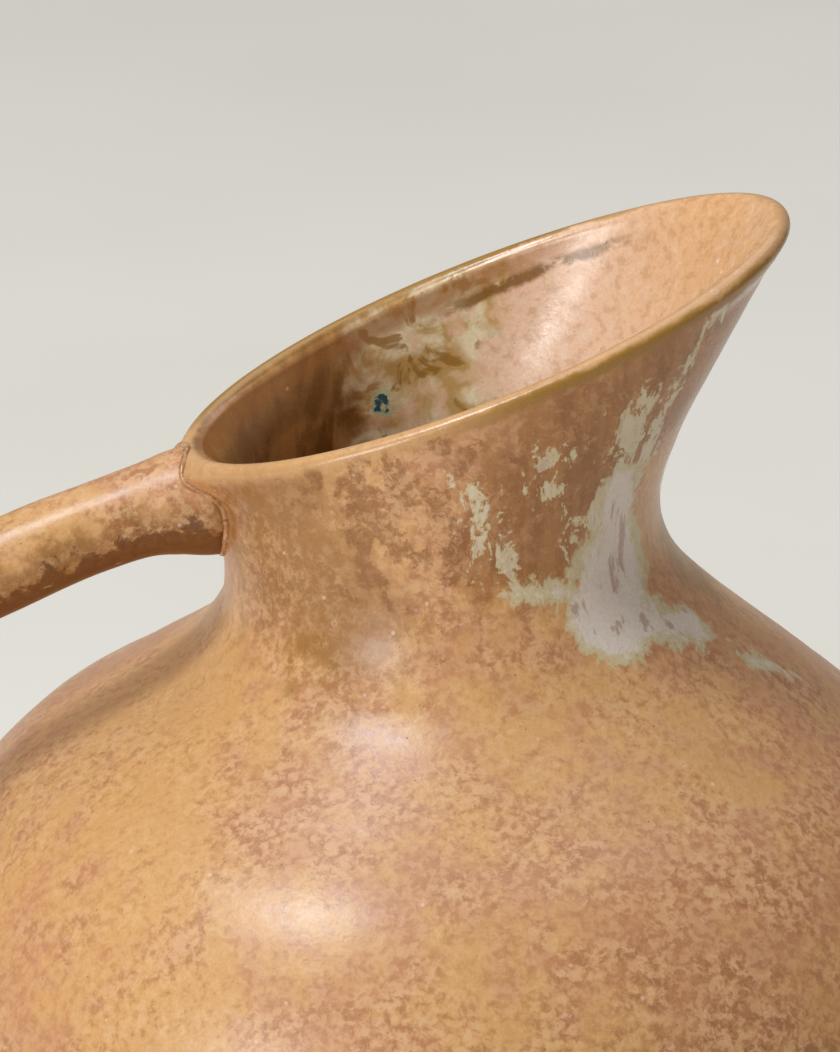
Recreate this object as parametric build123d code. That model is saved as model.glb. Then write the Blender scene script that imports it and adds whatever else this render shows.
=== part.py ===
from build123d import *
import math
import os

# Ceramic pitcher, millimetres.  Origin at the centre of the foot on the table plane,
# +X towards the spout, +Z up; the pitcher is the same on both sides of the XZ plane.

# Body: widest at the equator, round above it and elliptical below, turned about Z
BELLY_R = 124.0
EQUATOR_Z = 108.0
BELLY_CURVE_R = 81.5
LOWER_DEPTH = 103.0
WALL = 5.0
LAP = 5.0

# Foot ring and floor
FOOT_OUTER_R = 60.0
FOOT_INNER_R = 50.0
FOOT_TOP_Z = 9.0
FOOT_COVE_Z = 4.0
FOOT_CHAMFER = 1.0
FLOOR_R = 54.0
FLOOR_UNDER_Z = 5.0

# Shoulder: the round of the belly goes on to this angle above the equator
SHOULDER_END = 48.0
SHOULDER_STEP = 8.0

# Rings that the wall above it passes through, each one flat and leaning with the mouth:
# handle side X, Z; spout side X, Z; half width across Y.  Z is above the equator.
SHOULDER_RING = (-79.5, 72.0, 79.5, 76.0, 78.5)
NECK_FOOT_RING = (-61.0, 83.5, 58.5, 93.5, 60.0)
NECK_RING = (-52.0, 94.5, 46.5, 106.0, 51.5)
THROAT_RING = (-50.5, 104.0, 42.5, 119.0, 47.5)
FLARE_RING = (-52.0, 112.0, 46.5, 135.0, 46.6)
FUNNEL_RING = (-53.8, 122.0, 57.0, 156.0, 46.6)
RIM_RING = (-59.4, 129.2, 69.5, 179.2, 47.2)
RING_SPLITS = 2
RING_POINTS = 16
# Where the closed ring curves start, so that no surface seam lies in the handle's plane
SEAM_TURN = 1.1

# Lip bead: a coil with a flat seat on the top of the wall
BEAD_R = 2.4
BEAD_SEAT = 1.2

# Handle: centre line X, Z above the equator, and bar radius at each place
HANDLE_LINE = (
    (-55.5, 120.6, 12.2),
    (-62.0, 119.7, 11.0),
    (-70.0, 117.8, 9.8),
    (-84.0, 113.2, 9.6),
    (-98.5, 107.2, 9.9),
    (-113.0, 100.2, 10.0),
    (-127.0, 90.0, 10.0),
    (-138.0, 76.0, 9.9),
    (-144.0, 59.0, 9.8),
    (-143.0, 42.0, 9.8),
    (-136.0, 29.5, 10.2),
    (-127.5, 22.5, 10.8),
)
HANDLE_SPLITS = 2
HANDLE_END_ROUND = 2.0

# Handle joints: a plain tenon on each end of the bar, and a clay collar round each tenon
TENON_R = 8.0
TENON_REACH = 20.0
UPPER_COLLAR_R = 11.2
LOWER_COLLAR_R = 13.5
LOWER_COLLAR_ROUND = 2.6

# Clearances: between the handle's clay and the pot, and round the lap at the equator
SLIP_GAP = 0.03
LAP_GAP = 0.1


def largest(shape):
    """The largest solid in a result."""
    return max(shape.solids(), key=lambda piece: piece.volume)


def belly_ring(angle):
    """Level ring on the round of the belly, at an angle in degrees above the equator."""
    reach = BELLY_R - BELLY_CURVE_R * (1.0 - math.cos(math.radians(angle)))
    height = BELLY_CURVE_R * math.sin(math.radians(angle))
    return (-reach, height, reach, height, reach)


def blend(p, q, r, s, t):
    """Smooth curve from q to r, with p before and s after; t runs from 0 to 1."""
    linear = r - p
    square = 2.0 * p - 5.0 * q + 4.0 * r - s
    cube = 3.0 * q - p - 3.0 * r + s
    return q + 0.5 * t * (linear + t * (square + t * cube))


def beyond(last, before):
    """The ring as far past the last one as that one is past the one before."""
    return tuple(2.0 * a - b for a, b in zip(last, before))


def outer_rings():
    """Rings of the outside from below the equator to past the rim, evenly spaced."""
    named = [
        belly_ring(SHOULDER_END - SHOULDER_STEP * RING_SPLITS),
        belly_ring(SHOULDER_END),
        SHOULDER_RING,
        NECK_FOOT_RING,
        NECK_RING,
        THROAT_RING,
        FLARE_RING,
        FUNNEL_RING,
        RIM_RING,
    ]
    named.append(beyond(named[-1], named[-2]))
    rings = []
    for step in range(-RING_SPLITS, int(SHOULDER_END / SHOULDER_STEP)):
        rings.append(belly_ring(step * SHOULDER_STEP))
    for k in range(1, len(named) - 2):
        for split in range(RING_SPLITS):
            t = split / RING_SPLITS
            rings.append(tuple(blend(*four, t) for four in zip(*named[k - 1 : k + 3])))
    rings.append(named[-2])
    rings.append(beyond(rings[-1], rings[-2]))
    return rings


def inset(rings, depth):
    """The same rings moved into the wall by a depth, square to the outside."""
    moved = []
    for k, ring in enumerate(rings):
        low = rings[max(k - 1, 0)]
        high = rings[min(k + 1, len(rings) - 1)]
        run = [b - a for a, b in zip(low, high)]
        rise = (run[1] + run[3]) / 2.0
        handle_step = math.hypot(run[0], run[1])
        spout_step = math.hypot(run[2], run[3])
        side_step = math.hypot(run[4], rise)
        moved.append((
            ring[0] + depth * run[1] / handle_step,
            ring[1] - depth * run[0] / handle_step,
            ring[2] - depth * run[3] / spout_step,
            ring[3] + depth * run[2] / spout_step,
            ring[4] - depth * rise / side_step,
        ))
    return moved


def closed_curve(points):
    """Smooth closed curve through points, evenly spaced in its parameter."""
    marks = [k / len(points) for k in range(len(points) + 1)]
    return Wire([Edge.make_spline(points, periodic=True, parameters=marks)])


def ring_wire(ring):
    """Closed curve of one ring."""
    handle_x, handle_z, spout_x, spout_z, half_width = ring
    points = []
    for k in range(RING_POINTS):
        turn = SEAM_TURN + 2.0 * math.pi * k / RING_POINTS
        along = (1.0 + math.cos(turn)) / 2.0
        x = handle_x + (spout_x - handle_x) * along
        z = handle_z + (spout_z - handle_z) * along
        points.append((x, half_width * math.sin(turn), EQUATOR_Z + z))
    return closed_curve(points)


def ring_solid(rings, depth):
    """Solid inside the rings, moved in by a depth."""
    return Solid.make_loft([ring_wire(ring) for ring in inset(rings, depth)])


def ring_plane(ring, drop=0.0):
    """Plane of a ring, moved down square to itself by a drop."""
    handle_x, handle_z, spout_x, spout_z = ring[:4]
    middle = ((handle_x + spout_x) / 2.0, 0, EQUATOR_Z + (handle_z + spout_z) / 2.0)
    across = Vector(spout_x - handle_x, 0, spout_z - handle_z).normalized()
    up = across.cross(Vector(0, 1, 0))
    return Plane(origin=Vector(middle) - up * drop, x_dir=across, z_dir=up)


def half_space(plane, side):
    """Large block on one side of a plane: side 1 is above it and -1 is below it."""
    size = 6.0 * BELLY_R
    block = Solid.make_box(size, size, size, Plane.XY)
    block = block.moved(Location((-size / 2.0, -size / 2.0, 0 if side > 0 else -size)))
    return block.moved(plane.location)


def lower_reach(height, depth):
    """Distance from the axis of the lower body's surface at a height."""
    drop = (EQUATOR_Z - height) / (LOWER_DEPTH - depth)
    return BELLY_R - BELLY_CURVE_R + (BELLY_CURVE_R - depth) * math.sqrt(1.0 - drop * drop)


def lower_height(reach, depth):
    """Height of the lower body's surface at a distance from the axis."""
    bulge = (reach - BELLY_R + BELLY_CURVE_R) / (BELLY_CURVE_R - depth)
    return EQUATOR_Z - (LOWER_DEPTH - depth) * math.sqrt(1.0 - bulge * bulge)


def lower_arc(low, high, depth):
    """Part of the lower body's elliptical meridian between two heights."""
    plane = Plane(origin=(BELLY_R - BELLY_CURVE_R, 0, EQUATOR_Z), x_dir=(1, 0, 0), z_dir=(0, -1, 0))
    angles = []
    for height in (low, high):
        angles.append(-math.degrees(math.asin((EQUATOR_Z - height) / (LOWER_DEPTH - depth))))
    return Edge.make_ellipse(
        BELLY_CURVE_R - depth,
        LOWER_DEPTH - depth,
        plane,
        start_angle=angles[0],
        end_angle=angles[1],
    )


def turned(edges):
    """Solid turned about Z from the edges of its half section."""
    profile = Face(Wire(edges))
    return Solid.revolve(profile, 360.0, Axis.Z)


def line_chain(points):
    """Straight edges through points given as X, Z."""
    corners = [Vector(x, 0, z) for x, z in points]
    return [Edge.make_line(a, b) for a, b in zip(corners, corners[1:])]


def make_foot_ring():
    """Turned foot: flat resting face, outer cove, and an inner ledge for the floor."""
    cove_top = lower_reach(FOOT_TOP_Z, 0.0)
    edges = line_chain([
        (FOOT_OUTER_R, FOOT_COVE_Z),
        (FOOT_OUTER_R, FOOT_CHAMFER),
        (FOOT_OUTER_R - FOOT_CHAMFER, 0),
        (FOOT_INNER_R + FOOT_CHAMFER, 0),
        (FOOT_INNER_R, FOOT_CHAMFER),
        (FOOT_INNER_R, FLOOR_UNDER_Z),
        (FLOOR_R, FLOOR_UNDER_Z),
        (FLOOR_R, FOOT_TOP_Z),
        (cove_top, FOOT_TOP_Z),
    ])
    cove = Edge.make_spline(
        [(cove_top, 0, FOOT_TOP_Z), (FOOT_OUTER_R, 0, FOOT_COVE_Z)],
        tangents=[(-1, 0, -0.4), (0, 0, -1)],
    )
    return turned(edges + [cove])


def make_floor():
    """Floor disc, flush with the inside of the wall."""
    thickness = lower_height(FLOOR_R, WALL) - FLOOR_UNDER_Z
    disc = Solid.make_cylinder(FLOOR_R, thickness)
    return disc.moved(Location((0, 0, FLOOR_UNDER_Z)))


def make_belly_lower():
    """Lower half of the belly, with the outer half of the lap joint at the equator."""
    inner_low = lower_height(FLOOR_R, WALL)
    lap_low = EQUATOR_Z - LAP
    lap_reach = BELLY_R - WALL / 2.0 + LAP_GAP
    outside = lower_arc(FOOT_TOP_Z, EQUATOR_Z, 0.0)
    inside = lower_arc(inner_low, lap_low, WALL)
    lap = line_chain([
        (BELLY_R, EQUATOR_Z),
        (lap_reach, EQUATOR_Z),
        (lap_reach, lap_low),
        (lower_reach(lap_low, WALL), lap_low),
    ])
    seat = line_chain([
        (FLOOR_R, inner_low),
        (FLOOR_R, FOOT_TOP_Z),
        (lower_reach(FOOT_TOP_Z, 0.0), FOOT_TOP_Z),
    ])
    return turned([outside, *lap, inside, *seat])


def lap_split(wall, middle, ring):
    """Cut a wall in two at a ring with a half-lap joint: the outer half belongs below."""
    top = ring_plane(ring)
    bottom = ring_plane(ring, LAP)
    tongue = largest(middle.intersect(half_space(bottom, 1)))
    socket = largest(half_space(top, -1).cut(middle))
    below = largest(wall.cut(half_space(top, 1), tongue))
    above = largest(wall.cut(half_space(bottom, -1), socket))
    return below, above


def handle_sections():
    """Places along the handle: centre, direction and bar radius."""
    ends = [beyond(HANDLE_LINE[0], HANDLE_LINE[1]), *HANDLE_LINE]
    ends.append(beyond(HANDLE_LINE[-1], HANDLE_LINE[-2]))
    places = []
    for k in range(1, len(ends) - 2):
        for split in range(HANDLE_SPLITS):
            t = split / HANDLE_SPLITS
            places.append(tuple(blend(*four, t) for four in zip(*ends[k - 1 : k + 3])))
    places.append(HANDLE_LINE[-1])
    sections = []
    for k, place in enumerate(places):
        low = places[max(k - 1, 0)]
        high = places[min(k + 1, len(places) - 1)]
        run = Vector(high[0] - low[0], 0, high[1] - low[1]).normalized()
        centre = Vector(place[0], 0, EQUATOR_Z + place[1])
        sections.append((centre, run, place[2]))
    return sections


def cylinder_at(centre, direction, radius, length):
    """Cylinder from a point along a direction."""
    return Solid.make_cylinder(radius, length, Plane(origin=centre, x_dir=(0, 1, 0), z_dir=direction))


def rounded_cylinder(centre, direction, radius, rounding):
    """Cylinder from a point along a direction, with the edge at that point rounded."""
    plain = cylinder_at(centre, direction, radius, TENON_REACH)
    near = [
        edge
        for edge in plain.edges()
        if edge.geom_type == GeomType.CIRCLE and (edge.arc_center - centre).length < 1.0
    ]
    return plain.fillet(rounding, near)


def make_handle(sections, pot):
    """Round bar with a rounded flare at the top, and a tenon on each end that meets the pot."""
    wires = []
    for centre, run, radius in sections:
        plane = Plane(origin=centre, x_dir=(0, 1, 0), z_dir=run)
        wires.append(Wire([Edge.make_circle(radius, plane)]))
    bar = Solid.make_loft(wires)
    upper_centre, upper_run, upper_radius = sections[0]
    lower_centre, lower_run, _ = sections[-1]
    rounded = rounded_cylinder(upper_centre, upper_run, upper_radius, HANDLE_END_ROUND)
    collar = cylinder_at(upper_centre, upper_run, 2.0 * upper_radius, HANDLE_END_ROUND)
    bar = largest(bar.cut(largest(collar.cut(rounded))))
    upper_tenon = cylinder_at(upper_centre, upper_run * -1, TENON_R, TENON_REACH)
    lower_tenon = cylinder_at(lower_centre, lower_run, TENON_R, TENON_REACH)
    return largest(bar.fuse(upper_tenon, lower_tenon)).cut(*pot)


def make_collar(centre, direction, outer, pot):
    """Clay collar round a tenon, from the bar's end to the pot."""
    bore = cylinder_at(centre, direction, TENON_R, TENON_REACH)
    return largest(outer.cut(bore)).cut(*pot)


def make_bead(radius):
    """Lip coil along the rim, flat underneath where it sits on the wall."""
    plane = ring_plane(RIM_RING)
    handle_x, handle_z, spout_x, spout_z, half_width = RIM_RING
    half_length = math.hypot(spout_x - handle_x, spout_z - handle_z) / 2.0
    points = []
    for k in range(RING_POINTS):
        turn = SEAM_TURN + 2.0 * math.pi * k / RING_POINTS
        reach = (half_length - BEAD_R) * math.cos(turn)
        side = (half_width - BEAD_R) * math.sin(turn)
        points.append(plane.from_local_coords(Vector(reach, side, 0)))
    path = closed_curve(points)
    start = Plane(origin=path @ 0, x_dir=plane.z_dir, z_dir=path % 0)
    coil = Solid.sweep(Face(Wire([Edge.make_circle(radius, start)])), path)
    return coil.cut(half_space(ring_plane(RIM_RING, BEAD_SEAT), -1))


def save(name, solid):
    """Write one node's STEP file."""
    solid = largest(solid)
    solid.label = name
    export_step(solid, os.path.join("parts", name + ".step"))


def main():
    os.makedirs("parts", exist_ok=True)
    rings = outer_rings()
    outside = ring_solid(rings, 0.0)
    middle = ring_solid(rings, WALL / 2.0)
    inside = ring_solid(rings, WALL)
    wall = largest(outside.cut(inside))
    wall = largest(wall.cut(half_space(ring_plane(RIM_RING, BEAD_SEAT), 1)))
    upper_wall = lap_split(wall, middle, belly_ring(0.0))[1]
    belly_upper, rest = lap_split(upper_wall, middle, NECK_FOOT_RING)
    neck_collar, spout_funnel = lap_split(rest, middle, THROAT_RING)
    bead = make_bead(BEAD_R)
    slip_skin = ring_solid(rings, -SLIP_GAP)
    pot = (slip_skin, make_bead(BEAD_R + SLIP_GAP))
    sections = handle_sections()
    upper_centre, upper_run, _ = sections[0]
    lower_centre, lower_run, _ = sections[-1]
    save("foot_ring", make_foot_ring())
    save("base_floor", make_floor())
    save("belly_lower", make_belly_lower())
    save("belly_upper", belly_upper)
    save("neck_collar", neck_collar)
    save("spout_funnel", spout_funnel)
    save("lip_bead", bead)
    save("handle_bar", make_handle(sections, pot))
    upper_collar = cylinder_at(upper_centre, upper_run * -1, UPPER_COLLAR_R, TENON_REACH)
    lower_collar = rounded_cylinder(lower_centre, lower_run, LOWER_COLLAR_R, LOWER_COLLAR_ROUND)
    save("handle_upper_joint", make_collar(upper_centre, upper_run * -1, upper_collar, pot))
    save("handle_lower_joint", make_collar(lower_centre, lower_run, lower_collar, pot))


main()
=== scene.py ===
import math

import bpy
import numpy as np
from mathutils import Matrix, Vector, noise
from mathutils.bvhtree import BVHTree


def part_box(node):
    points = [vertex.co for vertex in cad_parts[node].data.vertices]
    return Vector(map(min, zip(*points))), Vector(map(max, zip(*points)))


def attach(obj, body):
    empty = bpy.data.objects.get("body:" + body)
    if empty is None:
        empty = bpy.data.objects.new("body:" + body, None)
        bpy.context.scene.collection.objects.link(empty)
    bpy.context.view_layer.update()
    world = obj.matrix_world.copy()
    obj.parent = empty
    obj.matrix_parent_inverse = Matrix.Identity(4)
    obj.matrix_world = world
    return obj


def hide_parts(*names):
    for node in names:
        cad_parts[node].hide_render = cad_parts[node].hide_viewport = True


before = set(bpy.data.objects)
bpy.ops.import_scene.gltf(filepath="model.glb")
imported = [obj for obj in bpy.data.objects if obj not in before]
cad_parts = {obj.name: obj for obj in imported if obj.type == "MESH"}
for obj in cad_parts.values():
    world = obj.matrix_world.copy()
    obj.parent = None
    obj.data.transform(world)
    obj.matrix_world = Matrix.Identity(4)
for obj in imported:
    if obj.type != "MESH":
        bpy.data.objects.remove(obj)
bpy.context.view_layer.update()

MM = 0.001

# ---------------------------------------------------------------- form, millimetres
# The same form as the CAD part.  Rings: handle side X, Z; spout side X, Z; half width across Y,
# with Z above the equator.
EQUATOR_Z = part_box("belly_lower")[1][2] / MM
FOOT_TOP_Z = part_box("belly_lower")[0][2] / MM
BELLY_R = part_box("belly_lower")[1][0] / MM
FLOOR_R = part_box("base_floor")[1][0] / MM
FLOOR_UNDER_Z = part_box("base_floor")[0][2] / MM
FLOOR_TOP_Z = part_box("base_floor")[1][2] / MM
BELLY_CURVE_R = 81.5
LOWER_DEPTH = 103.0
WALL = 5.0
SHOULDER_END = 48.0
SHOULDER_RING = (-79.5, 72.0, 79.5, 76.0, 78.5)
NECK_FOOT_RING = (-61.0, 83.5, 58.5, 93.5, 60.0)
NECK_RING = (-52.0, 94.5, 46.5, 106.0, 51.5)
THROAT_RING = (-50.5, 104.0, 42.5, 119.0, 47.5)
FLARE_RING = (-52.0, 112.0, 46.5, 135.0, 46.6)
FUNNEL_RING = (-53.8, 122.0, 57.0, 156.0, 46.6)
RIM_RING = (-59.4, 129.2, 69.5, 179.2, 47.2)
LIP_R = 2.2
LIP_SWELL = 9.0
WEB_REACH = 4.0
WEB_WIDTH = 0.25
WEB_DROP = 10.0

AROUND = 320
BELLY_STEP = 2.0
RING_SPLITS = 12
LIP_ROWS = 12
HEEL_ROWS = 6
THROW_HEIGHT = 0.025
THROW_PITCH = 7.5
WAVER_HEIGHT = 0.28
WAVER_SIZE = 34.0
DENT_HEIGHT = 0.10
DENT_SIZE = 12.0
CALM_NEAR_LIP = 12.0
INSIDE_FOLLOWS = 0.6

# Handle centre line: X, Z above the equator, bar radius.  The bar's soft clay end is pressed
# a little further on to the neck than the CAD bar's.
HANDLE_LINE = (
    (-55.5, 120.6, 12.2),
    (-62.0, 119.7, 11.0),
    (-70.0, 117.8, 9.8),
    (-84.0, 113.2, 9.6),
    (-98.5, 107.2, 9.9),
    (-113.0, 100.2, 10.0),
    (-127.0, 90.0, 10.0),
    (-138.0, 76.0, 9.9),
    (-144.0, 59.0, 9.8),
    (-143.0, 42.0, 9.8),
    (-136.0, 29.5, 10.2),
    (-127.5, 22.5, 10.8),
)
HANDLE_SPLITS = 10
HANDLE_AROUND = 96
HANDLE_PRESS = 4.8
DEEPEST_SHARE = 0.4
# Points of the bar's end nearer the mouth than this X stay below this Z
HANDLE_TUCK_X = -58.5
HANDLE_TUCK_Z = EQUATOR_Z + 127.6
HANDLE_END_ROUND = 3.0
HANDLE_END_STEPS = 8
PRESSED_ROWS = 4
SEAM_BEAD_R = 0.75
SEAM_STEPS = 12
SEAM_BEAD_AROUND = 14
SEAM_SMOOTHINGS = 4
SEAM_TOUCH = 0.3

# Collar at the handle's lower end: radius at the bar and on the belly, and how far it reaches
COLLAR_BAR_R = 10.7
COLLAR_FOOT_R = 17.0
COLLAR_REACH = 8.0
COLLAR_ROOT = 1.5
COLLAR_STEPS = 16

# Half section of the foot ring: reach, height
FOOT_SECTION = (
    (50.0, 4.95),
    (50.0, 1.2),
    (50.4, 0.4),
    (51.2, 0.02),
    (58.6, 0.0),
    (59.5, 0.4),
    (60.0, 1.2),
    (60.0, 4.0),
    (60.5, 5.6),
    (61.6, 7.2),
    (63.2, 8.4),
    (65.0, 9.0),
    (54.0, 9.0),
    (54.0, 4.95),
)
FOOT_GLAZE_Z = 5.8
FOOT_ROUGHNESS = 0.12
FLOOR_GLAZE_Z = 8.0
FLOOR_RINGS = 26
FLOOR_DISH = 0.5
FLOOR_RIDGE = 0.12
HUB_R = 0.02


def blend(p, q, r, s, t):
    """Smooth curve from q to r, with p before and s after; t runs from 0 to 1."""
    square = 2.0 * p - 5.0 * q + 4.0 * r - s
    cube = 3.0 * q - p - 3.0 * r + s
    return q + 0.5 * t * ((r - p) + t * (square + t * cube))


def beyond(last, before):
    """Station one step past the last, in line with the one before it."""
    return tuple(2.0 * a - b for a, b in zip(last, before))


def smooth_rows(stations, splits):
    """Evenly blended rows through stations, from the second to the last but one."""
    rows = []
    for k in range(1, len(stations) - 2):
        for split in range(splits):
            four = zip(*stations[k - 1 : k + 3])
            rows.append(tuple(blend(*values, split / splits) for values in four))
    rows.append(tuple(stations[-2]))
    return rows


def belly_ring(angle, depth=BELLY_CURVE_R):
    """Level ring on the belly at an angle above the equator; depth is its curve's height."""
    reach = BELLY_R - BELLY_CURVE_R * (1.0 - math.cos(math.radians(angle)))
    height = depth * math.sin(math.radians(angle))
    return (-reach, height, reach, height, reach)


def wall_rings():
    """Rings of the outside from the foot to the rim, with the row numbers of the joints."""
    lowest = -math.degrees(math.asin((EQUATOR_Z - FOOT_TOP_Z) / LOWER_DEPTH))
    count = int(-lowest / BELLY_STEP)
    rings = [belly_ring(lowest * (1.0 - k / count), LOWER_DEPTH) for k in range(count)]
    joints = {"foot": 0, "equator": len(rings)}
    for k in range(int(SHOULDER_END / BELLY_STEP)):
        rings.append(belly_ring(k * BELLY_STEP))
    joints["neck"] = len(rings) + 2 * RING_SPLITS
    joints["throat"] = len(rings) + 4 * RING_SPLITS
    named = [
        belly_ring(SHOULDER_END - 16.0),
        belly_ring(SHOULDER_END),
        SHOULDER_RING,
        NECK_FOOT_RING,
        NECK_RING,
        THROAT_RING,
        FLARE_RING,
        FUNNEL_RING,
        RIM_RING,
    ]
    named.append(beyond(named[-1], named[-2]))
    rings += smooth_rows(named, RING_SPLITS)
    joints["seat"] = len(rings) - 2
    return np.array(rings), joints


def ring_points(rings):
    """Grid of points on rings, millimetres."""
    turn = np.linspace(0.0, 2.0 * math.pi, AROUND, endpoint=False)
    along = (1.0 + np.cos(turn)) / 2.0
    handle_x, handle_z, spout_x, spout_z, half = [rings[:, k][:, None] for k in range(5)]
    x = handle_x + (spout_x - handle_x) * along
    z = handle_z + (spout_z - handle_z) * along + EQUATOR_Z
    y = half * np.sin(turn)[None, :]
    return np.stack([x, y, z], axis=-1)


def grid_normals(points):
    """Unit normals of a grid that closes around its second direction."""
    across = np.roll(points, -1, axis=1) - np.roll(points, 1, axis=1)
    along = np.gradient(points, axis=0)
    normals = np.cross(across, along)
    length = np.linalg.norm(normals, axis=-1, keepdims=True)
    return normals / np.maximum(length, 1e-9)


def waver(points, size, seed):
    """Smooth noise from -1 to 1 at points, with features of a size in millimetres."""
    flat = points.reshape(-1, 3)
    shift = Vector((seed * 17.3, seed * 5.9, seed * 11.1))
    values = [noise.noise(Vector(p) / size + shift) for p in flat]
    return np.array(values).reshape(points.shape[:-1])


def ease(value):
    """Smooth step from 0 to 1."""
    value = np.clip(value, 0.0, 1.0)
    return value * value * (3.0 - 2.0 * value)


def run_length(grid):
    """Distance along the surface from the first row."""
    step = np.linalg.norm(np.diff(grid, axis=0), axis=-1)
    return np.concatenate([np.zeros((1, grid.shape[1])), np.cumsum(step, axis=0)])


def build_wall():
    """Outside, lip and inside of the pot as one grid of rows, with run from the lip's crest."""
    rings, joints = wall_rings()
    outside = ring_points(rings)
    normals = grid_normals(outside)
    run = run_length(outside)
    left = run[-1][None, :] - run
    turn = np.linspace(0.0, 2.0 * math.pi, AROUND, endpoint=False)
    ripple = THROW_HEIGHT * np.sin(2.0 * math.pi * run / THROW_PITCH + turn[None, :])
    ripple = ripple * (0.5 + 0.5 * waver(outside, 50.0, 3))
    swell = WAVER_HEIGHT * waver(outside, WAVER_SIZE, 1)
    swell = swell + DENT_HEIGHT * waver(outside, DENT_SIZE, 2)
    lift = (ripple + swell) * ease(left / CALM_NEAR_LIP)
    # The wall's last stretch swings out to meet the round of the lip
    handle_x, handle_z, spout_x, spout_z, half = RIM_RING
    half_length = math.hypot(spout_x - handle_x, spout_z - handle_z) / 2.0
    lean = np.array([spout_x - handle_x, 0.0, spout_z - handle_z]) / (2.0 * half_length)
    middle = np.array([(spout_x + handle_x) / 2.0, 0.0, (spout_z + handle_z) / 2.0 + EQUATOR_Z])
    core = (
        middle
        + (half_length - LIP_R) * np.cos(turn)[:, None] * lean
        + (half - LIP_R) * np.sin(turn)[:, None] * np.array([0.0, 1.0, 0.0])
    )
    rim_normal = normals[-1]
    shift = core + LIP_R * rim_normal - outside[-1]
    base = outside + ease(1.0 - left / LIP_SWELL)[..., None] * shift[None]
    # Clay drawn from the lip on to the top of the handle
    web = WEB_REACH * np.exp(-(((turn - math.pi) / WEB_WIDTH) ** 2))
    outer_lift = lift + web * ease(1.0 - left / WEB_DROP)
    outside = base + outer_lift[..., None] * normals
    inside = base - (WALL - INSIDE_FOLLOWS * lift[..., None]) * normals
    along = np.cross(rim_normal, np.cross(outside[-1] - outside[-2], rim_normal))
    along /= np.linalg.norm(along, axis=-1, keepdims=True)
    lip = []
    for k in range(1, LIP_ROWS):
        angle = math.pi * k / LIP_ROWS
        reach = LIP_R + web[:, None] * max(math.cos(angle), 0.0) ** 2
        lip.append(core + reach * math.cos(angle) * rim_normal + LIP_R * math.sin(angle) * along)
    # The inside runs on past the foot joint to the edge of the floor
    last = inside[0]
    reach = np.hypot(last[:, 0], last[:, 1])
    heel = []
    for k in range(1, HEEL_ROWS + 1):
        share = k / HEEL_ROWS
        scale = (reach + (FLOOR_R - reach) * share) / reach
        height = last[:, 2] + (FLOOR_TOP_Z - last[:, 2]) * (1.0 - (1.0 - share) ** 2)
        heel.append(np.stack([last[:, 0] * scale, last[:, 1] * scale, height], axis=-1))
    grid = np.concatenate([outside, np.array(lip), inside[::-1], np.array(heel)])
    crest = len(outside) - 1 + LIP_ROWS // 2
    gone = run_length(grid)
    return grid, joints, gone[crest][None, :] - gone


def row_faces(low, high, around):
    """Quads between two rows that close around, given each row's first point."""
    faces = []
    for k in range(around):
        after = (k + 1) % around
        faces.append((low + k, low + after, high + after, high + k))
    return faces


def grid_faces(rows, around, first=0):
    """Quads between rows that close around."""
    faces = []
    for j in range(rows - 1):
        low = first + j * around
        faces += row_faces(low, low + around, around)
    return faces


def new_piece(node, points, faces, material, marks=None, normals=None):
    """Piece that stands for a CAD node; marks are named numbers kept at each vertex."""
    mesh = bpy.data.meshes.new(node + "_piece")
    mesh.from_pydata([tuple(p) for p in np.asarray(points) * MM], [], faces)
    mesh.materials.append(material)
    mesh.polygons.foreach_set("use_smooth", [True] * len(mesh.polygons))
    mesh.update()
    if normals is not None:
        mesh.normals_split_custom_set_from_vertices([tuple(n) for n in normals])
    for name, values in (marks or {}).items():
        layer = mesh.attributes.new(name, "FLOAT", "POINT")
        layer.data.foreach_set("value", values)
    piece = bpy.data.objects.new(node + "_piece", mesh)
    bpy.context.collection.objects.link(piece)
    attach(piece, "root")
    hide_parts(node)
    return piece


def wall_piece(node, spans, grid, normals, from_lip, material):
    """Closed piece of the wall from one or two spans of rows, with flat joints between."""
    points, shades, marks, faces, rims = [], [], [], [], []
    for first, last in spans:
        rims.append(len(points))
        points += list(grid[first : last + 1].reshape(-1, 3))
        shades += list(normals[first : last + 1].reshape(-1, 3))
        marks += list(from_lip[first : last + 1].reshape(-1))
        rims.append(len(points) - AROUND)
        faces += grid_faces(last - first + 1, AROUND, rims[-2])
    closings = [(rims[k], rims[(k + 1) % len(rims)]) for k in range(1, len(rims), 2)]
    for pair in closings:
        ends = []
        for row in pair:
            ends.append(len(points))
            points += points[row : row + AROUND]
            marks += marks[row : row + AROUND]
            shades += [(0.0, 0.0, 0.0)] * AROUND
        faces += row_faces(ends[0], ends[1], AROUND)
    return new_piece(node, points, faces, material, {"from_lip": marks}, shades)


def handle_places():
    """Centres, directions and radii along the handle."""
    stations = [beyond(HANDLE_LINE[0], HANDLE_LINE[1]), *HANDLE_LINE]
    stations.append(beyond(HANDLE_LINE[-1], HANDLE_LINE[-2]))
    places = np.array(smooth_rows(stations, HANDLE_SPLITS))
    centres = np.stack([places[:, 0], 0 * places[:, 0], places[:, 1] + EQUATOR_Z], axis=-1)
    runs = np.gradient(centres, axis=0)
    runs /= np.linalg.norm(runs, axis=-1, keepdims=True)
    return centres, runs, places[:, 2]


def circle(centre, run, radius, wobble=0.0):
    """Ring of points round a run that lies in the XZ plane."""
    side = np.array([0.0, 1.0, 0.0])
    up = np.cross(side, run)
    turn = np.linspace(0.0, 2.0 * math.pi, HANDLE_AROUND, endpoint=False)[:, None]
    reach = radius * (1.0 + wobble * np.sin(3.0 * turn + 1.0))
    return centre + reach * (np.cos(turn) * side + np.sin(turn) * up)


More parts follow.
